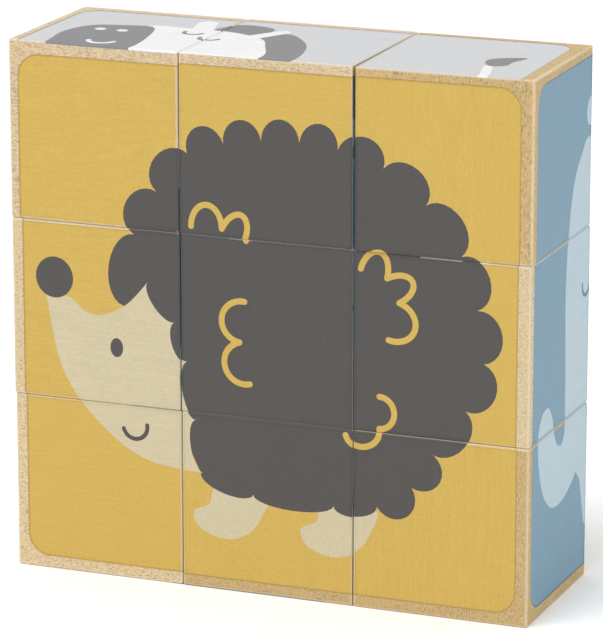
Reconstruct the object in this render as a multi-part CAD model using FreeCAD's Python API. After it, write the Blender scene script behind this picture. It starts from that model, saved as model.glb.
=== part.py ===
# Nine-cube picture puzzle, stacked as a wall three cubes wide, three high and one deep.
# Each cube is solid wood with a shallow recess in each of its six faces, and a thin printed film
# lies in each recess. Nine films side by side, one from each cube, make one whole picture, so the
# set holds six pictures. Bare wood is left round the outside of a whole picture and nowhere inside it.
#
# Frame: millimetres, +Z up, the first picture faces -Y, +X is to the right of it.
# The origin is on the ground under the middle of the wall.
import FreeCAD, Part
import math
import os
from collections import namedtuple

# ---- The cube and how it is stacked ----
edge = 40.0  # side of one cube
column_gap = 0.25  # air between two columns of an evenly set wall

# ---- The prints ----
recess_depth = 0.18  # how far a recess is cut into the wood
print_thickness = 0.10  # film of ink and varnish, lying on the floor of its recess
print_clearance = 0.05  # between the edge of a film and the wall of its recess
wood_border = 2.5  # bare wood round the outside of a whole picture
picture_corner = 5.0  # radius of a whole picture's four corners
seam_land = 0.05  # flat wood between a sanded edge and a recess, where a picture runs on

# ---- The nine cubes as they were set down by hand ----
# rounding: radius that the cube's edges are sanded to.
# shift_x, shift_y: how far the cube stands to the right of and behind its even place.
# turn: its turn about the vertical, in degrees, anticlockwise from above.
# print_right, print_up: how far its prints lie off centre in their own pictures.
Cube = namedtuple("Cube", "row column rounding shift_x shift_y turn print_right print_up")
cubes = (
    Cube("top", "left", 0.55, -0.15, 0.00, 0.0, -0.4, -0.5),
    Cube("top", "centre", 0.30, -0.20, 0.10, 0.0, 0.1, 0.1),
    Cube("top", "right", 0.35, -0.23, -0.10, 0.8, -0.5, 0.5),
    Cube("middle", "left", 0.40, 0.00, -0.05, 0.0, 0.0, 0.2),
    Cube("middle", "centre", 0.30, 0.00, 0.05, 0.0, -0.2, 0.0),
    Cube("middle", "right", 0.40, -0.10, 0.15, 0.0, -0.3, -0.1),
    Cube("bottom", "left", 0.40, 0.20, 0.10, 0.0, 0.1, 0.3),
    Cube("bottom", "centre", 0.45, 0.10, 0.00, 0.0, 0.2, 0.1),
    Cube("bottom", "right", 0.50, 0.05, -0.10, 0.0, -0.2, 0.2),
)
rows = ("top", "middle", "bottom")
columns = ("left", "centre", "right")

# ---- The six pictures ----
# right, up: the picture's own directions on the wall. It faces along right x up.
# mirrored: its columns count from the wall's right, because it is seen from another side.
Picture = namedtuple("Picture", "name right up mirrored")
pictures = (
    Picture("front", (1, 0, 0), (0, 0, 1), False),
    Picture("back", (-1, 0, 0), (0, 0, 1), True),
    Picture("upper", (1, 0, 0), (0, 1, 0), False),
    Picture("lower", (1, 0, 0), (0, -1, 0), False),
    Picture("left", (0, -1, 0), (0, 0, 1), True),
    Picture("right", (0, 1, 0), (0, 0, 1), True),
)
side_pictures = ("left", "right")  # both films of a cube's two sides share one node

same_place = 1e-6  # two points nearer than this are one point


def cube_centre(cube):
    """Where the middle of a cube stands in the wall."""
    out = columns.index(cube.column) - 1
    level = len(rows) - 1 - rows.index(cube.row)
    turn = math.radians(abs(cube.turn))
    room_to_turn = edge / 2 * (math.cos(turn) + math.sin(turn) - 1)
    x = out * (edge + column_gap + room_to_turn) + cube.shift_x
    return FreeCAD.Vector(x, cube.shift_y, (level + 0.5) * edge)


def cube_placement(cube):
    """Takes a shape from the cube's own frame, about its middle, to the wall."""
    return FreeCAD.Placement(cube_centre(cube), FreeCAD.Rotation(FreeCAD.Vector(0, 0, 1), cube.turn))


def face_placement(picture):
    """Takes a shape from a face's own frame, right, up and out, to the cube's frame."""
    right = FreeCAD.Vector(*picture.right)
    up = FreeCAD.Vector(*picture.up)
    out = right.cross(up)
    middle = out * (edge / 2)
    return FreeCAD.Placement(
        FreeCAD.Matrix(
            right.x, up.x, out.x, middle.x,
            right.y, up.y, out.y, middle.y,
            right.z, up.z, out.z, middle.z,
            0, 0, 0, 1,
        )
    )


def tile(cube, picture):
    """Which tile of a picture a cube carries: its column and row, from the picture's upper left."""
    column = columns.index(cube.column)
    if picture.mirrored:
        column = len(columns) - 1 - column
    return column, rows.index(cube.row)


def recess_sides(cube, picture):
    """A recess's left, right, bottom and top, measured on the face from its middle."""
    column, row = tile(cube, picture)
    outer = edge / 2 - wood_border
    inner = edge / 2 - cube.rounding - seam_land
    left = cube.print_right - outer if column == 0 else -inner
    right = cube.print_right + outer if column == len(columns) - 1 else inner
    bottom = cube.print_up - outer if row == len(rows) - 1 else -inner
    top = cube.print_up + outer if row == 0 else inner
    return left, right, bottom, top


def picture_corner_on(cube, picture, left, right, bottom, top):
    """Where the whole picture's rounded corner falls on a tile's outline, or None."""
    column, row = tile(cube, picture)
    x = {0: left, len(columns) - 1: right}.get(column)
    y = {0: top, len(rows) - 1: bottom}.get(row)
    return None if x is None or y is None else (x, y)


def panel(cube, picture, inset, low, high):
    """A prism on one face, of the recess's outline moved in by inset, between two heights."""
    left, right, bottom, top = recess_sides(cube, picture)
    left += inset
    right -= inset
    bottom += inset
    top -= inset
    start = FreeCAD.Vector(left, bottom, low)
    shape = Part.makeBox(right - left, top - bottom, high - low, start)
    corner = picture_corner_on(cube, picture, left, right, bottom, top)
    if corner:
        upright = [e for e in shape.Edges if all(is_above(v, corner) for v in e.Vertexes)]
        shape = shape.makeFillet(picture_corner - inset, upright)
    shape.Placement = face_placement(picture).multiply(shape.Placement)
    return shape


def is_above(vertex, corner):
    """Whether a vertex lies over a point of the face."""
    return math.hypot(vertex.X - corner[0], vertex.Y - corner[1]) < same_place


def wooden_cube(cube):
    """The solid wood of one cube, with sanded edges and six recesses."""
    corner = FreeCAD.Vector(-edge / 2, -edge / 2, -edge / 2)
    block = Part.makeBox(edge, edge, edge, corner)
    block = block.makeFillet(cube.rounding, block.Edges)
    recesses = [panel(cube, picture, 0.0, -recess_depth, 0.0) for picture in pictures]
    return block.cut(recesses)


def printed_film(cube, picture):
    """The printed film on one face, on the floor of its recess."""
    return panel(cube, picture, print_clearance, -recess_depth, print_thickness - recess_depth)


def write(node, cube, shapes):
    """Sets the shapes of one node in their place in the wall and writes them to one file."""
    placed = []
    for shape in shapes:
        shape.Placement = cube_placement(cube).multiply(shape.Placement)
        placed.append(shape)
    whole = placed[0] if len(placed) == 1 else Part.makeCompound(placed)
    whole.exportStep("parts/" + node + ".step")
    return whole.BoundBox


os.makedirs("parts", exist_ok=True)
box = FreeCAD.BoundBox()
count = 0
for cube in cubes:
    name = cube.row + "_" + cube.column
    nodes = {"cube": [wooden_cube(cube)]}
    for picture in pictures:
        if picture.name in side_pictures:
            nodes.setdefault("side_prints", []).append(printed_film(cube, picture))
        else:
            nodes[picture.name + "_print"] = [printed_film(cube, picture)]
    for kind, shapes in nodes.items():
        box.add(write(name + "_" + kind, cube, shapes))
        count += 1
print(f"{count} nodes, {box.XLength:.2f} x {box.YLength:.2f} x {box.ZLength:.2f} mm")
print(f"x {box.XMin:.2f} to {box.XMax:.2f}, y {box.YMin:.2f} to {box.YMax:.2f}")
print(f"z {box.ZMin:.2f} to {box.ZMax:.2f}")
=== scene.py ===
# %% [markdown]
# # Nine wooden picture cubes
# The object is a puzzle for small children: nine loose wooden cubes, each with a piece of a
# different picture printed on each of its six faces. Here they stand as a wall, three by three.
# The cubes and the plain films that the pictures are printed on come from the construction model,
# at their real size and place. This lesson adds what makes them look like wood and print: the
# animals as thin layers of coloured ink, the grain of each cube, and the light.

# %% Load the frame
import bpy
import bmesh
import math
import random
from mathutils import Matrix, Vector
from mathutils.geometry import tessellate_polygon


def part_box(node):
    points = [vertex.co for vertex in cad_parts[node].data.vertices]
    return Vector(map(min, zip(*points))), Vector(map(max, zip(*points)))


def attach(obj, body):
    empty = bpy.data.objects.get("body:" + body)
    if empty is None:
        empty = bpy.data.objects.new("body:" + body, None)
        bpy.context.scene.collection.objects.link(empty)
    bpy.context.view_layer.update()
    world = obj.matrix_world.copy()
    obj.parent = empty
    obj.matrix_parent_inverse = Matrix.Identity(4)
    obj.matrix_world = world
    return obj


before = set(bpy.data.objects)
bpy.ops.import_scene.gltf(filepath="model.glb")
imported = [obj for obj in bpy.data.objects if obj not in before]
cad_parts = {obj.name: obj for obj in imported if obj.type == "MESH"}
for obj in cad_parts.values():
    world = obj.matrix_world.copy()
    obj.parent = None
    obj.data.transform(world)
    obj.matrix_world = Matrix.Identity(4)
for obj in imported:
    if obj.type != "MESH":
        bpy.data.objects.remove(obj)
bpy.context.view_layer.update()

# %% [markdown]
# ## Camera
# A long lens from about a metre away looks a little down on the wall from its right, so that the
# front, the top and one side show at once. A long lens keeps the cubes nearly parallel, and what
# little the upright edges run together towards the ground comes from looking down.

# %% Camera
MM = 0.001
camera_turn = math.radians(21.7)
camera_lift = math.radians(15.0)
camera_distance = 0.954
camera_aim = Vector((0.0003, 0.0, 0.0573))
lens_length = 258.5
towards_camera = Vector((
    math.sin(camera_turn) * math.cos(camera_lift),
    -math.cos(camera_turn) * math.cos(camera_lift),
    math.sin(camera_lift),
))
camera_data = bpy.data.cameras.new("camera")
camera_data.lens = lens_length
camera_data.sensor_width = 36.0
camera_data.sensor_fit = "HORIZONTAL"
camera = bpy.data.objects.new("camera", camera_data)
bpy.context.scene.collection.objects.link(camera)
camera.location = camera_aim + towards_camera * camera_distance
camera.rotation_euler = (-towards_camera).to_track_quat("-Z", "Y").to_euler()
bpy.context.scene.camera = camera
print("camera at", [round(x, 3) for x in camera.location], "m")

# %% [markdown]
# ## Floor and light
# The wall stands on a plain white surface. Light comes from all round, as in a white tent, which
# could also be built from large panels, but a plain white world does the same for less. One large
# soft lamp hangs high above, a little in front and to the left, and a weak one stands on the right.
# So the tops of the cubes are the brightest and the right side is a little darker than the front.

# %% Floor and light
scene = bpy.context.scene
scene.view_settings.view_transform = "Standard"


def link_mesh(name, vertices, faces):
    """A new object with this mesh, in the scene."""
    mesh = bpy.data.meshes.new(name)
    mesh.from_pydata(vertices, [], faces)
    mesh.validate()
    piece = bpy.data.objects.new(name, mesh)
    scene.collection.objects.link(piece)
    return piece


floor_half = 4.0
floor_corners = [(x * floor_half, y * floor_half, 0) for x, y in ((-1, -1), (1, -1), (1, 1), (-1, 1))]
floor = link_mesh("floor", floor_corners, [(0, 1, 2, 3)])


wall_middle = Vector((0, 0, 0.06))
lamp_size = 0.9


def soft_lamp(name, place, power):
    """A square soft lamp that looks at the middle of the wall."""
    data = bpy.data.lights.new(name, "AREA")
    data.size = lamp_size
    data.energy = power
    lamp = bpy.data.objects.new(name, data)
    lamp.location = place
    lamp.rotation_euler = (wall_middle - Vector(place)).to_track_quat("-Z", "Y").to_euler()
    scene.collection.objects.link(lamp)


soft_lamp("key", (-0.3, -0.7, 1.9), 19)
soft_lamp("side", (1.7, -0.6, 0.9), 3)
world = bpy.data.worlds.new("white tent")
scene.world = world
world.use_nodes = True
world.node_tree.nodes["Background"].inputs["Color"].default_value = (1.0, 1.0, 1.0, 1.0)
world.node_tree.nodes["Background"].inputs["Strength"].default_value = 0.84

# %% [markdown]
# ## Writing shader maths as sums
# A finish is a small sum: so much grain, times a tone, plus some fleck. Blender builds such sums
# from Math nodes. The class below wraps one node socket, and its operators add the Math nodes, so
# that `tone - 0.2 * fleck` is all that a finish has to say. Colours and vectors don't go through
# Math nodes, which would turn them grey. They have Mix and Vector Math.

# %% Sockets that can be added and multiplied
class Varying:
    """A value that changes over the surface: one output socket of a finish."""

    def __init__(self, finish, socket):
        self.finish = finish
        self.socket = socket

    def maths(self, operation, *values):
        """One Math node on these values."""
        return self.finish.add("ShaderNodeMath", {"operation": operation}, dict(enumerate(values)))

    def __add__(self, other):
        return self.maths("ADD", self, other)

    def __sub__(self, other):
        return self.maths("SUBTRACT", self, other)

    def __rsub__(self, other):
        return self.maths("SUBTRACT", other, self)

    def __mul__(self, other):
        return self.maths("MULTIPLY", self, other)

    def __abs__(self):
        return self.maths("ABSOLUTE", self)

    __radd__ = __add__
    __rmul__ = __mul__

    def ramp(self, low, high):
        """0 below low, 1 above high and a soft step between."""
        sockets = {"Value": self, "From Min": low, "From Max": high}
        return self.finish.add("ShaderNodeMapRange", {"interpolation_type": "SMOOTHSTEP"}, sockets)


class Finish:
    """A material while its nodes are put together."""

    def __init__(self, name):
        self.material = bpy.data.materials.new(name)
        self.material.use_nodes = True
        self.nodes = self.material.node_tree.nodes
        self.links = self.material.node_tree.links
        self.shader = self.nodes["Principled BSDF"]

    def add(self, kind, settings, sockets, output=0):
        """Adds a node: its settings first, then the value or link of each named or numbered socket."""
        node = self.nodes.new(kind)
        for name, value in settings.items():
            setattr(node, name, value)
        for name, value in sockets.items():
            self.feed(node, name, value)
        return Varying(self, node.outputs[output])

    def feed(self, node, name, value):
        """Sets one socket of a node, or links a varying value to it."""
        if isinstance(value, Varying):
            self.links.new(value.socket, node.inputs[name])
        else:
            node.inputs[name].default_value = value

    def surface(self, name, value):
        """Feeds one socket of the shader."""
        self.feed(self.shader, name, value)

    def mix(self, factor, first, second):
        """A colour between two, by a varying factor."""
        sockets = {0: factor, 6: first, 7: second}
        return self.add("ShaderNodeMix", {"data_type": "RGBA"}, sockets, output=2)

    def tint(self, base, factor):
        """A colour made lighter or darker by a varying factor about 1."""
        sockets = {0: base[:3], "Scale": factor}
        return self.add("ShaderNodeVectorMath", {"operation": "SCALE"}, sockets)

    def noise(self, at, detail=2.0, roughness=0.5, distortion=0.0):
        """Cloudy noise from 0 to 1, one cloud to each unit of the given vector."""
        sockets = {"Vector": at, "Scale": 1.0, "Detail": detail}
        sockets.update({"Roughness": roughness, "Distortion": distortion})
        return self.add("ShaderNodeTexNoise", {}, sockets)

    def bump(self, height, distance):
        """Normals for a relief of this depth in metres."""
        sockets = {"Height": height, "Distance": distance, "Strength": 1.0}
        self.surface("Normal", self.add("ShaderNodeBump", {}, sockets))

    def place(self):
        """Where a point of the surface is, in metres, in the frame at rest."""
        return self.add("ShaderNodeTexCoord", {}, {}, output="Object")

    def grid(self, at, origin, sizes):
        """The place measured from an origin, in steps of these sizes along X, Y and Z."""
        moved = self.add("ShaderNodeVectorMath", {"operation": "SUBTRACT"}, {0: at, 1: tuple(origin)})
        return self.add("ShaderNodeVectorMath", {"operation": "DIVIDE"}, {0: moved, 1: tuple(sizes)})

    def parts(self, vector):
        """The three numbers of a varying vector."""
        split = self.add("ShaderNodeSeparateXYZ", {}, {0: vector})
        return [Varying(self, s) for s in split.socket.node.outputs]


def colour(code):
    """A colour from its usual six-figure code, as linear red, green and blue."""
    shades = [int(code[i:i + 2], 16) / 255 for i in (0, 2, 4)]
    return tuple(s / 12.92 if s <= 0.04045 else ((s + 0.055) / 1.055) ** 2.4 for s in shades) + (1.0,)


# %% [markdown]
# ## The cubes
# Everything on a face is placed from the cube itself: its middle, its edge and the way it is
# turned, all read from the construction model. One cube of this wall stands a little askew, so
# its front film tells which way it faces.

# %% The cubes of the frame
rows = ("top", "middle", "bottom")
columns = ("left", "centre", "right")
side_pictures = ("left", "right")


def largest_normal(node):
    """The normal of the biggest flat face of a node."""
    return max(node.data.polygons, key=lambda p: p.area).normal.copy()


class Cube:
    """One cube of the wall, as the construction model holds it."""

    def __init__(self, row, column):
        self.name = f"{row}_{column}"
        self.row = rows.index(row)
        self.column = columns.index(column)
        self.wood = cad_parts[f"{self.name}_cube"]
        low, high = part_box(f"{self.name}_cube")
        self.middle = (low + high) / 2
        self.edge = high.z - low.z
        back = largest_normal(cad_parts[f"{self.name}_front_print"])
        back = -back if back.y < 0 else back
        self.axes = Matrix((back.cross(Vector((0, 0, 1))), back, Vector((0, 0, 1)))).transposed()
        self.random = random.Random(self.name)


cubes = [Cube(row, column) for row in rows for column in columns]
for cube in cubes:
    turn = math.degrees(math.atan2(cube.axes[1][0], cube.axes[0][0]))
    print(f"{cube.name}: edge {cube.edge / MM:.2f} mm, turned {turn:.2f} degrees")

# %% [markdown]
# ## Wood
# The cubes are cut from pale, even hardwood. Three things make it read as wood: the yearly rings,
# which are wide and faint; the vessels, thousands of short dark dashes along the grain that turn
# into dots where the grain meets the face end on; and the edges, paler than the faces from sanding
# and from a painted highlight where their round catches the light. The pattern is solid, so it runs
# through a cube and each face cuts it another way. It is made from noise that is stretched along
# the grain, with a different origin for each cube.

# %% Wood
grain_of = {
    "top_left": "X", "top_centre": "X", "top_right": "Z",
    "middle_left": "X", "middle_centre": "Z", "middle_right": "Y",
    "bottom_left": "X", "bottom_centre": "Y", "bottom_right": "Z",
}
pale, golden, rosy = colour("CBB591"), colour("BDA26F"), colour("D0BB94")
wood_tone = {
    "top_left": pale, "top_centre": pale, "top_right": golden,
    "middle_left": rosy, "middle_centre": pale, "middle_right": rosy,
    "bottom_left": rosy, "bottom_centre": golden, "bottom_right": golden,
}
# The second colour paints the rounded edges paler: partly bare wood from sanding, partly a painted
# highlight.
heart_colour, sanded_highlight_colour = colour("C99E68"), colour("DED1B7")
vessel_length, vessel_width = 0.70 * MM, 0.24 * MM
ring_length, ring_width = 60 * MM, 3.2 * MM
fibre_length, fibre_width = 8 * MM, 0.5 * MM
wood_cloud = 11 * MM
sanded_highlight_start, sanded_highlight_end = 0.7 * MM, 0.15 * MM
sanded_highlight_share = 0.55
wood_relief = 0.03 * MM


def stretched(along, across, grain):
    """Sizes along X, Y and Z: long along the grain and short across it."""
    return tuple(along if axis == grain else across for axis in "XYZ")


def from_edge(finish, here, cube):
    """The second largest of a point's three distances from the cube's middle: large along edges."""
    across = [abs(part) for part in finish.parts(finish.grid(here, cube.middle, (1, 1, 1)))]
    widest = across[0].maths("MAXIMUM", across[0].maths("MAXIMUM", *across[:2]), across[2])
    narrowest = across[0].maths("MINIMUM", across[0].maths("MINIMUM", *across[:2]), across[2])
    return across[0] + across[1] + across[2] - widest - narrowest


def wood_finish(cube):
    """Solid wood for one cube: rings, fibres and vessels along its grain, and edges made pale by sanding and
    by a painted highlight.
    """
    finish = Finish(f"wood_{cube.name}")
    here = finish.place()
    origin = cube.middle + Vector([cube.random.uniform(-0.5, 0.5) for _ in "XYZ"])

    def along_grain(length, width, *kind):
        """Noise in spots of this length along the grain and this width across it."""
        sizes = stretched(length, width, grain_of[cube.name])
        return finish.noise(finish.grid(here, origin, sizes), *kind)

    vessels = along_grain(vessel_length, vessel_width, 1.0)
    rings = along_grain(ring_length, ring_width, 3.0, 0.55, 0.6)
    fibre = along_grain(fibre_length, fibre_width, 3.0, 0.6)
    cloud = along_grain(wood_cloud, wood_cloud, 2.0)
    dash = vessels.ramp(0.56, 0.70)
    light = vessels.ramp(0.42, 0.28)
    shade = 0.82 + 0.12 * rings + 0.14 * fibre + 0.08 * cloud - 0.42 * dash + 0.34 * light
    tone = finish.tint(wood_tone[cube.name], shade)
    warm = finish.mix(rings.ramp(0.45, 0.75) * 0.25, tone, heart_colour)
    half = cube.edge / 2
    # Painted highlight: the wood is made paler near every edge, for sanding and for light catching the
    # round.
    sanding_and_highlight = from_edge(finish, here, cube).ramp(half - sanded_highlight_start, half - sanded_highlight_end)
    finish.surface("Base Color", finish.mix(sanding_and_highlight * sanded_highlight_share, warm, sanded_highlight_colour))
    finish.surface("Roughness", 0.56 + 0.10 * vessels)
    finish.bump(0.5 * fibre - dash + 0.4 * light, wood_relief)
    return finish.material


for cube in cubes:
    cube.wood.data.materials[0] = wood_finish(cube)
print("wood finishes:", len(cubes))

# %% [markdown]
# ## Ink
# The pictures are printed straight on the wood in flat, matt, slightly dusty colours. Ink on wood
# is never quite even: a fine speckle where it sinks in, faint streaks where the grain shows
# through, and slow clouds a few millimetres wide. The streaks follow the grain of the cube
# underneath, so one colour exists in up to three directions.

# %% Ink
# Each *_edge colour is the darker line along a film's outer end: partly ink rim, partly painted shade of the
# step from film up to wood.
ink_codes = {
    "mustard": "C6A54C", "charcoal": "474442", "cream": "C5B998", "mustard_edge": "B7954A",
    "light_grey": "BCBDBF", "mid_grey": "747476", "white": "DADADA", "light_grey_edge": "989898",
    "blue": "698EA2", "light_blue": "ACBFC8", "blue_edge": "4C6979", "deep_blue": "527589",
    "sage": "929F7C", "brown": "7C5F47", "tan": "B3926F", "sage_edge": "6F7C5B",
    "coral": "C3876F", "teal": "55807E", "coral_edge": "9C634E",
    "sand": "CCBB95", "rust": "A35A42", "sand_edge": "AA9669",
}
speckle_size, ink_cloud = 0.42 * MM, 6 * MM
streak_length, streak_width = 7 * MM, 0.45 * MM
ink_relief = 0.02 * MM
zero = (0, 0, 0)
made_inks = {}


def ink_finish(name, grain):
    """The finish of one ink over wood with this direction of grain."""
    if (name, grain) in made_inks:
        return made_inks[name, grain]
    finish = Finish(f"ink_{name}_{grain}")
    here = finish.place()
    streak_sizes = stretched(streak_length, streak_width, grain)
    speckle = finish.noise(finish.grid(here, zero, (speckle_size,) * 3), 2.0, 0.6)
    streak = finish.noise(finish.grid(here, zero, streak_sizes), 3.0, 0.6)
    cloud = finish.noise(finish.grid(here, zero, (ink_cloud,) * 3), 2.0)
    shade = 0.72 + 0.30 * speckle + 0.20 * streak + 0.06 * cloud
    finish.surface("Base Color", finish.tint(colour(ink_codes[name]), shade))
    finish.surface("Roughness", 0.44 + 0.10 * speckle)
    finish.bump(0.5 * speckle + streak, ink_relief)
    made_inks[name, grain] = finish.material
    return finish.material


# %% [markdown]
# ## Drawing outlines
# Each animal is a few flat shapes. An outline is a list of points in picture units, where one
# cube's edge is 1, so a whole picture runs from 0 to 3 both ways. Round shapes come from a
# formula, free ones from a smooth curve through a few points, and lines from a path with a width
# and round ends.

# %% Outlines
def oval(x, y, rx, ry, tilt=0.0, steps=48):
    """An ellipse, tilted by some degrees."""
    c, s = math.cos(math.radians(tilt)), math.sin(math.radians(tilt))
    curve = []
    for i in range(steps):
        angle = 2 * math.pi * i / steps
        u, v = rx * math.cos(angle), ry * math.sin(angle)
        curve.append((x + u * c - v * s, y + u * s + v * c))
    return curve


def arches(cusps, height, steps=12):
    """Round arches from each cusp to the next, standing out to the left of the way they are drawn."""
    curve = []
    for start, end in zip(cusps, cusps[1:]):
        a, b = Vector(start), Vector(end)
        half = (b - a) / 2
        side = Vector((-half.y, half.x)).normalized() * height
        for k in range(steps):
            angle = math.pi * k / steps
            curve.append(tuple(a + half * (1 - math.cos(angle)) + side * math.sin(angle)))
    return curve + [cusps[-1]]


def through(points, closed=True, steps=10):
    """A smooth curve through points, as a Catmull-Rom spline."""
    n = len(points)
    curve = []
    for i in range(n if closed else n - 1):
        around = [(i + k) % n if closed else min(max(i + k, 0), n - 1) for k in (-1, 0, 1, 2)]
        for step in range(steps):
            t = step / steps
            weights = (
                (-t + 2 * t * t - t ** 3) / 2,
                (2 - 5 * t * t + 3 * t ** 3) / 2,
                (t + 4 * t * t - 3 * t ** 3) / 2,
                (-t * t + t ** 3) / 2,
            )
            curve.append(tuple(sum(w * points[k][axis] for w, k in zip(weights, around)) for axis in (0, 1)))
    return curve if closed else curve + [points[-1]]


def arc(x, y, radius, start, end, steps=16):
    """Points on a circle, between two angles in degrees."""
    angles = [math.radians(start + (end - start) * i / steps) for i in range(steps + 1)]
    return [(x + radius * math.cos(a), y + radius * math.sin(a)) for a in angles]


def cap(place, side, half, steps=8):
    """The points of a band's round end, from its left side to its right."""
    begin = math.atan2(side.y, side.x)
    turned = [begin - math.pi * k / steps for k in range(1, steps)]
    return [place + Vector((math.cos(a), math.sin(a))) * half for a in turned]


def line(path, start_width, end_width=None):
    """A band along a path with round ends, as wide as asked at each end."""
    end_width = start_width if end_width is None else end_width
    points = [Vector(p) for p in path]
    lengths = [0.0]
    for a, b in zip(points, points[1:]):
        lengths.append(lengths[-1] + (b - a).length)
    sides, halves = [], []
    for i, length in enumerate(lengths):
        ahead = points[min(i + 1, len(points) - 1)] - points[max(i - 1, 0)]
        sides.append(Vector((-ahead.y, ahead.x)).normalized())
        halves.append((start_width + (end_width - start_width) * length / lengths[-1]) / 2)
    left = [p + side * half for p, side, half in zip(points, sides, halves)]
    right = [p - side * half for p, side, half in zip(points, sides, halves)]
    far_end = cap(points[-1], sides[-1], halves[-1])
    near_end = cap(points[0], -sides[0], halves[0])
    return [tuple(p) for p in left + far_end + right[::-1] + near_end]


# %% [markdown]
# ## The six pictures
# Only the front picture shows whole: a hedgehog with a scalloped coat, a pale pointed face and a
# few curly marks for its spines. Along the top runs the upper third of a cow, and up the right
# side one third of an elephant. A bear, a bird and a fish complete the set on the faces that
# don't show. They are drawn as plain nursery shapes.
#
# They could be painted as images. As outlines they stay sharp at any distance, and the exported
# model keeps them. A picture is a list of inks and outlines, and later ones lie on top.

# %% Hedgehog
def foot(x, y):
    """A round foot that leans forward."""
    shape = [(0.14, 0.28), (0.09, 0.18), (0.00, 0.13), (0.02, 0.05), (0.11, 0.00)]
    shape += [(0.22, -0.01), (0.33, 0.04), (0.40, 0.14), (0.43, 0.28)]
    return "cream", through([(x + u, y + v) for u, v in shape])


def curls(cusps, height):
    """A row of thin arches, as curly spines."""
    return [("mustard", line(arches(pair, height, steps=16), 0.034)) for pair in zip(cusps, cusps[1:])]


def hedgehog():
    """The front picture: coat, face, feet and curls."""
    coat = [(0.67, 1.56), (0.73, 1.97), (0.87, 2.22), (1.05, 2.45), (1.26, 2.52), (1.48, 2.55)]
    coat += [(1.70, 2.56), (1.92, 2.54), (2.16, 2.46), (2.40, 2.28), (2.60, 2.02), (2.70, 1.73)]
    coat += [(2.74, 1.44), (2.64, 1.17), (2.44, 0.92), (2.34, 0.71), (2.14, 0.58)]
    belly = [(2.14, 0.58), (1.89, 0.56), (1.42, 0.57), (1.11, 0.66)]
    forehead = [(0.20, 1.58), (0.34, 1.58), (0.43, 1.51), (0.54, 1.50), (0.68, 1.57), (0.81, 1.71)]
    cheek = arches([(0.81, 1.71), (0.97, 1.50), (1.03, 1.28), (1.08, 0.96), (1.13, 0.66)], -0.055)
    chin = [(1.13, 0.66), (0.99, 0.67), (0.83, 0.69), (0.68, 0.75)]
    chin += [(0.52, 0.87), (0.38, 1.02), (0.27, 1.23), (0.20, 1.58)]
    face = through(forehead, closed=False)[:-1] + cheek[:-1] + through(chin, closed=False)[:-1]
    return [
        foot(1.07, 0.31),
        foot(1.70, 0.28),
        ("charcoal", arches(coat, 0.125)[:-1] + arches(belly, 0.06)),
        ("cream", face),
        ("charcoal", oval(0.25, 1.685, 0.112, 0.116)),
        ("charcoal", oval(0.62, 1.32, 0.038, 0.054)),
        ("charcoal", line(arc(0.72, 0.885, 0.072, 195, 370), 0.024)),
        *curls([(1.07, 2.05), (1.25, 2.05), (1.38, 1.99)], 0.125),
        *curls([(1.40, 1.19), (1.34, 1.42), (1.37, 1.65)], 0.12),
        *curls([(2.04, 1.90), (2.19, 1.86), (2.26, 1.73), (2.20, 1.52)], 0.125),
        *curls([(2.15, 1.20), (2.15, 1.02), (1.96, 0.97)], 0.085),
    ]


# %% Cow and elephant
def cow():
    """The upper picture, of which the upper third shows above the front."""
    body = [(1.50, 1.75), (2.10, 1.85), (2.70, 1.70), (2.78, 1.10)]
    body += [(2.60, 0.75), (1.60, 0.70), (1.10, 0.90), (1.10, 1.50)]
    head = [(0.55, 2.60), (0.80, 2.63), (1.05, 2.61), (1.27, 2.50), (1.37, 2.32)]
    head += [(1.46, 2.04), (1.36, 1.72), (0.95, 1.52), (0.62, 1.62), (0.48, 2.10)]
    muzzle = [(0.20, 2.14), (0.19, 2.34), (0.26, 2.52), (0.42, 2.58), (0.60, 2.59)]
    muzzle += [(0.68, 2.34), (0.71, 2.04), (0.66, 1.74), (0.45, 1.62), (0.27, 1.80)]
    cheek_patch = [(1.24, 2.50), (1.36, 2.67), (1.50, 2.54), (1.60, 2.34)]
    cheek_patch += [(1.65, 2.04), (1.58, 1.74), (1.36, 1.70), (1.20, 2.00)]
    tuft = [(2.66, 2.27), (2.60, 2.35), (2.60, 2.44), (2.67, 2.50), (2.78, 2.53), (2.74, 2.41), (2.73, 2.31)]
    tail = through([(2.62, 1.55), (2.69, 1.80), (2.70, 2.02), (2.65, 2.25)], closed=False)
    return [
        ("white", through(body)),
        ("white", line([(1.35, 0.9), (1.35, 0.32)], 0.24)),
        ("white", line([(2.50, 1.0), (2.50, 0.32)], 0.24)),
        ("mid_grey", through([(1.80, 1.80), (2.20, 1.84), (2.40, 1.50), (2.10, 1.25), (1.75, 1.45)])),
        ("white", line(tail, 0.055)),
        ("mid_grey", through(tuft)),
        ("mid_grey", through(cheek_patch)),
        ("mid_grey", through([(0.95, 2.58), (0.99, 2.78), (1.10, 2.83), (1.25, 2.76), (1.20, 2.55)])),
        ("white", through(head)),
        ("mid_grey", through(muzzle)),
        ("white", line([(0.90, 2.56), (0.84, 2.80)], 0.13, 0.11)),
        ("white", line([(1.20, 2.50), (1.32, 2.71)], 0.10, 0.08)),
        ("white", oval(0.35, 2.44, 0.032, 0.030)),
        ("white", oval(0.48, 2.44, 0.032, 0.030)),
        ("white", line(arc(0.49, 2.15, 0.075, 190, 350), 0.030)),
        ("mid_grey", line(arc(0.87, 2.53, 0.055, 170, 350), 0.024)),
        ("mid_grey", line(arc(1.01, 2.41, 0.055, 170, 350), 0.024)),
    ]


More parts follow.
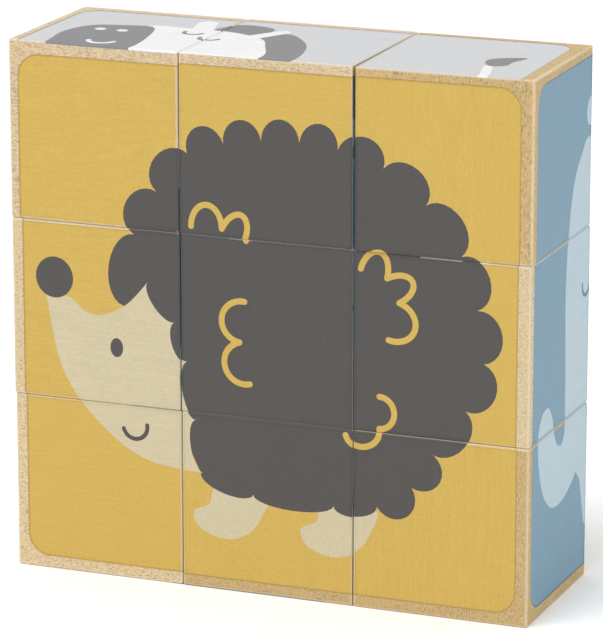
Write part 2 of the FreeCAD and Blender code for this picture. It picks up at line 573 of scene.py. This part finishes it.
def elephant():
    """The right picture."""
    head = [(1.00, 2.50), (0.84, 2.43), (0.72, 2.31), (0.65, 2.14)]
    head += [(0.61, 1.93), (0.59, 1.70), (0.60, 1.40), (0.61, 1.00)]
    trunk = [(0.57, 0.89), (0.49, 0.89), (0.43, 0.96), (0.39, 1.07), (0.32, 1.14), (0.22, 1.12)]
    trunk += [(0.16, 1.02), (0.17, 0.86), (0.24, 0.69), (0.38, 0.57)]
    trunk += [(0.55, 0.55), (0.72, 0.60), (0.84, 0.67)]
    neck = [(1.10, 0.80), (1.60, 1.10), (1.80, 1.80), (1.50, 2.35)]
    tusk = [(0.80, 0.70), (0.88, 0.58), (0.93, 0.42), (0.97, 0.31)]
    tusk += [(1.06, 0.30), (1.14, 0.50), (1.20, 0.80), (1.00, 0.90)]
    body = [(1.10, 1.00), (1.10, 2.10), (1.70, 2.52), (2.40, 2.40)]
    body += [(2.78, 1.80), (2.70, 1.00), (2.20, 0.72), (1.40, 0.74)]
    ear = [(1.50, 2.25), (1.95, 2.30), (2.20, 1.85), (2.00, 1.35), (1.65, 1.30), (1.45, 1.70)]
    return [
        ("light_blue", line([(1.50, 1.0), (1.50, 0.34)], 0.40)),
        ("light_blue", line([(2.35, 1.0), (2.35, 0.34)], 0.40)),
        ("light_blue", through(body)),
        ("light_blue", through(head + trunk + neck)),
        ("light_blue", through(tusk)),
        ("deep_blue", through(ear)),
        ("light_blue", oval(0.99, 2.64, 0.07, 0.08)),
        ("deep_blue", line(arc(0.94, 1.68, 0.06, 170, 370), 0.022)),
    ]


# %% Bear, bird and fish
def bear():
    """The back picture."""
    return [
        ("brown", oval(1.50, 0.95, 0.78, 0.72)),
        ("brown", oval(0.98, 0.45, 0.26, 0.20)),
        ("brown", oval(2.02, 0.45, 0.26, 0.20)),
        ("tan", oval(1.50, 0.86, 0.46, 0.46)),
        ("brown", oval(0.96, 2.44, 0.24, 0.24)),
        ("brown", oval(2.04, 2.44, 0.24, 0.24)),
        ("tan", oval(0.96, 2.44, 0.12, 0.12)),
        ("tan", oval(2.04, 2.44, 0.12, 0.12)),
        ("brown", oval(1.50, 1.98, 0.76, 0.66)),
        ("tan", oval(1.50, 1.78, 0.34, 0.26)),
        ("charcoal", oval(1.50, 1.90, 0.10, 0.07)),
        ("charcoal", oval(1.18, 2.08, 0.045, 0.06)),
        ("charcoal", oval(1.82, 2.08, 0.045, 0.06)),
        ("charcoal", line(arc(1.50, 1.76, 0.10, 200, 340), 0.026)),
    ]


def bird():
    """The left picture."""
    return [
        ("rust", line([(1.35, 0.75), (1.35, 0.30)], 0.05)),
        ("rust", line([(1.70, 0.75), (1.70, 0.30)], 0.05)),
        ("rust", through([(2.20, 1.20), (2.70, 0.92), (2.80, 1.12), (2.45, 1.45)])),
        ("teal", oval(1.50, 1.30, 0.86, 0.72, 15)),
        ("cream", oval(1.25, 1.10, 0.52, 0.46, 15)),
        ("teal", oval(0.98, 2.02, 0.46, 0.46)),
        ("deep_blue", through([(1.30, 1.45), (1.75, 1.62), (2.25, 1.35), (2.05, 1.00), (1.55, 1.02)])),
        ("rust", through([(0.56, 2.10), (0.22, 1.98), (0.56, 1.88)])),
        ("charcoal", oval(0.88, 2.10, 0.05, 0.06)),
    ]


def fish():
    """The lower picture."""
    stripes = [("cream", line(arc(0.60 + 0.42 * i, 1.55, 0.62, -34, 34), 0.10)) for i in range(3)]
    sizes = [0.05 + 0.02 * i for i in range(3)]
    bubbles = [("cream", oval(0.36 + 0.10 * i, 2.10 + 0.26 * i, r, r)) for i, r in enumerate(sizes)]
    return [
        ("teal", through([(2.15, 1.55), (2.72, 2.10), (2.62, 1.55), (2.72, 1.00)])),
        ("teal", through([(1.10, 2.05), (1.50, 2.50), (1.90, 2.35), (1.85, 1.90)])),
        ("teal", through([(1.25, 1.05), (1.50, 0.66), (1.85, 0.78), (1.75, 1.15)])),
        ("teal", oval(1.35, 1.55, 0.92, 0.62)),
        *stripes,
        ("cream", oval(0.78, 1.70, 0.10, 0.10)),
        ("charcoal", oval(0.76, 1.70, 0.05, 0.05)),
        ("charcoal", line(arc(0.62, 1.46, 0.09, 200, 320), 0.026)),
        *bubbles,
    ]


# %% [markdown]
# ## Where the pictures lie
# Each cube carries one tile of each picture. A picture is placed by the direction that is right in
# it, the direction that is up, and whether it is read from the far side, which swaps its columns.

# %% The six pictures on the wall
class Picture:
    """One of the six pictures: where it lies on the cubes and which inks it uses."""

    def __init__(self, name, right, up, mirrored, ground, slot, shapes):
        self.name = name
        self.right = Vector(right)
        self.up = Vector(up)
        self.mirrored = mirrored
        self.ground = ground
        self.slot = slot
        self.shapes = shapes


pictures = (
    Picture("front", (1, 0, 0), (0, 0, 1), False, "mustard", "mustard_print", hedgehog()),
    Picture("upper", (1, 0, 0), (0, 1, 0), False, "light_grey", "grey_print", cow()),
    Picture("right", (0, 1, 0), (0, 0, 1), True, "blue", "blue_print", elephant()),
    Picture("back", (-1, 0, 0), (0, 0, 1), True, "sage", "sage_print", bear()),
    Picture("lower", (1, 0, 0), (0, -1, 0), False, "coral", "coral_print", fish()),
    Picture("left", (0, -1, 0), (0, 0, 1), True, "sand", "sage_print", bird()),
)
for picture in pictures:
    print(f"{picture.name}: {len(picture.shapes)} shapes on {picture.ground}")

# %% [markdown]
# ## Ink that runs over the sanded edges
# The film in the construction model ends just inside a cube's rounded edge. Real print goes on
# over the edge, so that a picture doesn't break off at the seams, and leaves a thin pale line of
# wood only where it stops, painted paler still as a highlight of the edge. So a tile is drawn a
# little larger than its film and then bent: it steps up from the film to the wood, and follows the
# round of the edge by some degrees. How far it goes is a guess for each side of a face, chosen so
# that the seams look right.

# %% The tile of a picture on one cube
film_gap = 0.10 * MM
film_step = 0.03 * MM
same_height = 0.0003 * MM
same_place = 0.003 * MM
ink_reach = {"right": 68, "up": 58, "left": 80, "down": 80}
side_reach = {"right": 25, "up": 62, "left": 25, "down": 75}
fold_angles = (0, 20, 40, 60)
axis_of = {"left": 0, "right": 0, "down": 1, "up": 1}


class Tile:
    """The film of one picture on one cube, with its own flat directions."""

    def __init__(self, cube, picture):
        self.right = cube.axes @ picture.right
        self.up = cube.axes @ picture.up
        self.out = self.right.cross(self.up)
        self.cube = cube
        self.column = 2 - cube.column if picture.mirrored else cube.column
        self.row = cube.row
        on_side = picture.name in side_pictures
        self.reach = side_reach if on_side else ink_reach
        kind = "side_prints" if on_side else f"{picture.name}_print"
        points = [v.co - cube.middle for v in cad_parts[f"{cube.name}_{kind}"].data.vertices]
        self.height = max(p.dot(self.out) for p in points)
        on_top = [p for p in points if self.height - p.dot(self.out) < same_height]
        film = {(round(p.dot(self.right), 8), round(p.dot(self.up), 8)) for p in on_top}
        self.seams = self.find_seams(film)
        self.flat_half = abs(next(iter(self.seams.values()))) + film_gap
        self.radius = cube.edge / 2 - self.flat_half
        self.outline = self.around([self.spread(x, y) for x, y in film])

    def find_seams(self, film):
        """Where the film ends at each side on which the picture goes on, from the face's middle."""
        low = [min(p[axis] for p in film) for axis in (0, 1)]
        high = [max(p[axis] for p in film) for axis in (0, 1)]
        goes_on = {"left": self.column > 0, "right": self.column < 2}
        goes_on.update({"down": self.row < 2, "up": self.row > 0})
        ends = {"left": low[0], "right": high[0], "down": low[1], "up": high[1]}
        return {side: ends[side] for side in ends if goes_on[side]}

    def spread(self, x, y):
        """A corner of the film, moved out over the sanded edge where the film meets a seam."""
        moved = [x, y]
        for side, at in self.seams.items():
            if abs((x, y)[axis_of[side]] - at) < same_place:
                reach = self.flat_half + self.radius * math.radians(self.reach[side])
                moved[axis_of[side]] = math.copysign(reach, at)
        return self.picture_point(*moved)

    def around(self, points):
        """The outline's corners in order, anticlockwise."""
        x = sum(p[0] for p in points) / len(points)
        y = sum(p[1] for p in points) / len(points)
        return sorted(points, key=lambda p: math.atan2(p[1] - y, p[0] - x))

    def picture_point(self, x, y):
        """A place on the face, in metres from its middle, in picture units."""
        return x / self.cube.edge + self.column + 0.5, y / self.cube.edge + 2.5 - self.row

    def folds(self):
        """Where the ink has to be cut so that it can step on to the wood and bend over its edge."""
        turned = [self.flat_half + self.radius * math.radians(angle) for angle in fold_angles]
        for side, at in self.seams.items():
            for distance in [abs(at), abs(at) + film_step] + turned:
                place, normal = [0.0, 0.0], [0.0, 0.0, 0.0]
                place[axis_of[side]] = math.copysign(distance, at)
                normal[axis_of[side]] = 1.0
                yield (*self.picture_point(*place), 0.0), normal

    def past_film(self, side, distance):
        """How far a point lies beyond the film's end on this side, or 0."""
        at = self.seams[side]
        return max(math.copysign(1.0, at) * distance - abs(at), 0.0)

    def bend(self, distance, low_side, high_side):
        """Where a distance from the middle comes to lie: on the flat, and turned over the edge."""
        beyond = abs(distance) - self.flat_half
        if beyond <= 0 or (high_side if distance > 0 else low_side) not in self.seams:
            return distance, 0.0
        return math.copysign(self.flat_half, distance), math.copysign(beyond / self.radius, distance)

    def solid(self, point, rise):
        """A point of the picture in the frame, so far above the film or the wood."""
        x = (point[0] - self.column - 0.5) * self.cube.edge
        y = (point[1] - 2.5 + self.row) * self.cube.edge
        outside = max(self.past_film(side, (x, y)[axis_of[side]]) for side in self.seams)
        on_wood = min(outside / film_step, 1.0)
        surface = self.height + on_wood * (self.cube.edge / 2 - self.height)
        flat_x, turn_x = self.bend(x, "left", "right")
        flat_y, turn_y = self.bend(y, "down", "up")
        normal = Vector((
            math.sin(turn_x) * math.cos(turn_y),
            math.sin(turn_y) * math.cos(turn_x),
            math.cos(turn_x) * math.cos(turn_y),
        )).normalized()
        sunk = self.radius if turn_x or turn_y else 0.0
        local = Vector((flat_x, flat_y, surface - sunk)) + normal * (sunk + rise)
        return self.cube.middle + self.right * local.x + self.up * local.y + self.out * local.z


print("ink over a front edge, in degrees:", ink_reach)

# %% [markdown]
# ## Cutting a shape to a tile
# A shape of the whole picture has to be cut at the tile's outline, like paper along a ruler. A
# Boolean modifier could do it with solids, but cutting a flat mesh by one plane after another is
# quicker and always works, because the outline of a tile is convex. The same planes then cut it
# where it will bend.

# %% Cutting
no_distance = 1e-7
straight_angle = 0.002


def misses(outline, loop):
    """Whether a loop lies wholly to one side of an outline."""
    return any(
        max(p[axis] for p in loop) < min(p[axis] for p in outline)
        or min(p[axis] for p in loop) > max(p[axis] for p in outline)
        for axis in (0, 1)
    )


def cut(mesh, place, normal, keep_inner):
    """Cuts a flat mesh by a plane, and drops what lies outside where asked."""
    geometry = mesh.verts[:] + mesh.edges[:] + mesh.faces[:]
    plane = {"plane_co": place, "plane_no": normal, "clear_outer": keep_inner}
    bmesh.ops.bisect_plane(mesh, geom=geometry, dist=no_distance, **plane)


def cut_to(tile, loop):
    """A flat mesh of the part of a loop that lies on a tile, cut at its folds, or None."""
    outline = tile.outline
    if misses(outline, loop):
        return None
    mesh = bmesh.new()
    corners = [mesh.verts.new((x, y, 0)) for x, y in loop]
    for triangle in tessellate_polygon([[Vector((x, y, 0)) for x, y in loop]]):
        mesh.faces.new([corners[i] for i in triangle])
    for (ax, ay), (bx, by) in zip(outline, outline[1:] + outline[:1]):
        cut(mesh, (ax, ay, 0), (by - ay, ax - bx, 0), True)
    if not mesh.faces:
        mesh.free()
        return None
    bmesh.ops.dissolve_limit(mesh, angle_limit=straight_angle, verts=mesh.verts[:], edges=mesh.edges[:])
    for place, normal in tile.folds():
        cut(mesh, place, normal, False)
    bmesh.ops.triangulate(mesh, faces=mesh.faces[:])
    bmesh.ops.recalc_face_normals(mesh, faces=mesh.faces[:])
    if mesh.faces[0].normal.z < 0:
        bmesh.ops.reverse_faces(mesh, faces=mesh.faces[:])
    return mesh


# %% [markdown]
# ## Printing
# Every shape becomes a closed layer a few thousandths of a millimetre thick, with a front, a back
# and sides, and a later shape is a little thicker than the one before, so that it shows on top.
# Where a picture ends against bare wood, a thin darker line is painted along its end: partly an ink
# rim, and partly painted shade where the film lies a step below the wood. Each tile's shapes are
# moved by a few thousandths of a cube's edge, as prints never meet exactly at a seam.
# All layers of a tile are one piece, which rides on its cube.

# %% Printing
layer = 0.003 * MM
edge_shade_width = 0.22 * MM
print_wander = 0.004
picture_end = 1 / 6


def edge_shade_strips(tile):
    """The dark line along the sides of a film that end against bare wood, as closed loops: partly ink rim,
    partly painted shade of the step down to the film.
    """
    width = edge_shade_width / tile.cube.edge
    strips = []
    for start, end in zip(tile.outline, tile.outline[1:] + tile.outline[:1]):
        a, b = Vector(start), Vector(end)
        if all(picture_end < place < 3 - picture_end for place in (a + b) / 2):
            continue
        inward = Vector((a.y - b.y, b.x - a.x)).normalized() * width
        strips.append([tuple(a), tuple(b), tuple(b + inward), tuple(a + inward)])
    return strips


class InkLayers:
    """The layers of ink on one tile while they are put together."""

    def __init__(self, tile):
        self.tile = tile
        self.vertices, self.faces = [], []
        self.names, self.ink_of_face = [], []

    def add(self, ink, loop, rise):
        """One closed layer of one ink, so thick, where the loop lies on the tile."""
        mesh = cut_to(self.tile, loop)
        if mesh is None:
            return
        if ink not in self.names:
            self.names.append(ink)
        mesh.verts.index_update()
        start = len(self.vertices)
        size = len(mesh.verts)
        self.vertices += [self.tile.solid(v.co, 0.0) for v in mesh.verts]
        self.vertices += [self.tile.solid(v.co, rise) for v in mesh.verts]
        for face in mesh.faces:
            ring = [start + v.index for v in face.verts]
            self.faces.append(ring[::-1])
            self.faces.append([i + size for i in ring])
        for edge in mesh.edges:
            if len(edge.link_faces) == 1:
                side = edge.link_loops[0]
                a, b = start + side.vert.index, start + side.link_loop_next.vert.index
                self.faces.append([a, b, b + size, a + size])
        added = len(self.faces) - len(self.ink_of_face)
        self.ink_of_face += [self.names.index(ink)] * added
        mesh.free()


def print_tile(cube, picture):
    """All the ink of one picture on one cube, as one piece."""
    tile = Tile(cube, picture)
    right, up = [cube.random.uniform(-print_wander, print_wander) for _ in "xy"]
    shapes = [(picture.ground, tile.outline)]
    shapes += [(ink, [(x + right, y + up) for x, y in loop]) for ink, loop in picture.shapes]
    top_level = len(shapes) + 1
    # Painted shade: a darker line along the picture's outer ends, partly ink rim, for the step from the sunk
    # film up to the wood.
    shapes += [(f"{picture.ground}_edge", strip) for strip in edge_shade_strips(tile)]
    layers = InkLayers(tile)
    for level, (ink, loop) in enumerate(shapes, start=1):
        layers.add(ink, loop, layer * min(level, top_level))
    piece = link_mesh(f"print_{picture.name}_{cube.name}", layers.vertices, layers.faces)
    for name in layers.names:
        piece.data.materials.append(ink_finish(name, grain_of[cube.name]))
    piece.data.polygons.foreach_set("material_index", layers.ink_of_face)
    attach(piece, cube.name)
    return piece


printed = [print_tile(cube, picture) for cube in cubes for picture in pictures]
print(f"{len(printed)} printed faces, {sum(len(piece.data.polygons) for piece in printed)} faces of ink")

# %% [markdown]
# ## The ground colour of each film
# The plain film of each face is in the construction model already, so it only needs its ink. The
# two films of a cube's left and right sides are one node there, and each has its own colour.

# %% Ground colours
for cube in cubes:
    grain = grain_of[cube.name]
    for picture in pictures:
        if picture.name in side_pictures:
            continue
        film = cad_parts[f"{cube.name}_{picture.name}_print"]
        film.data.materials[0] = ink_finish(picture.ground, grain)
    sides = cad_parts[f"{cube.name}_side_prints"].data
    sides.materials[0] = ink_finish("blue", grain)
    sides.materials.append(ink_finish("sand", grain))
    for face in sides.polygons:
        face.material_index = 1 if face.center.x < cube.middle.x else 0
print("inks made:", len(made_inks))

# %% [markdown]
# ## Floor finish
# The floor is matt white paper, with clouds so faint that they only keep it from being one flat
# colour. A glossy floor would show the wall upside down, which a plain setting shouldn't.

# %% Floor finish
paper_cloud = 0.3
paper = Finish("white_paper")
soft = paper.noise(paper.grid(paper.place(), zero, (paper_cloud,) * 3), 1.0)
paper.surface("Base Color", paper.tint(colour("FCFCFC"), 0.98 + 0.02 * soft))
paper.surface("Roughness", 0.8)
floor.data.materials.append(paper.material)
print("floor:", 2 * floor_half, "m wide")
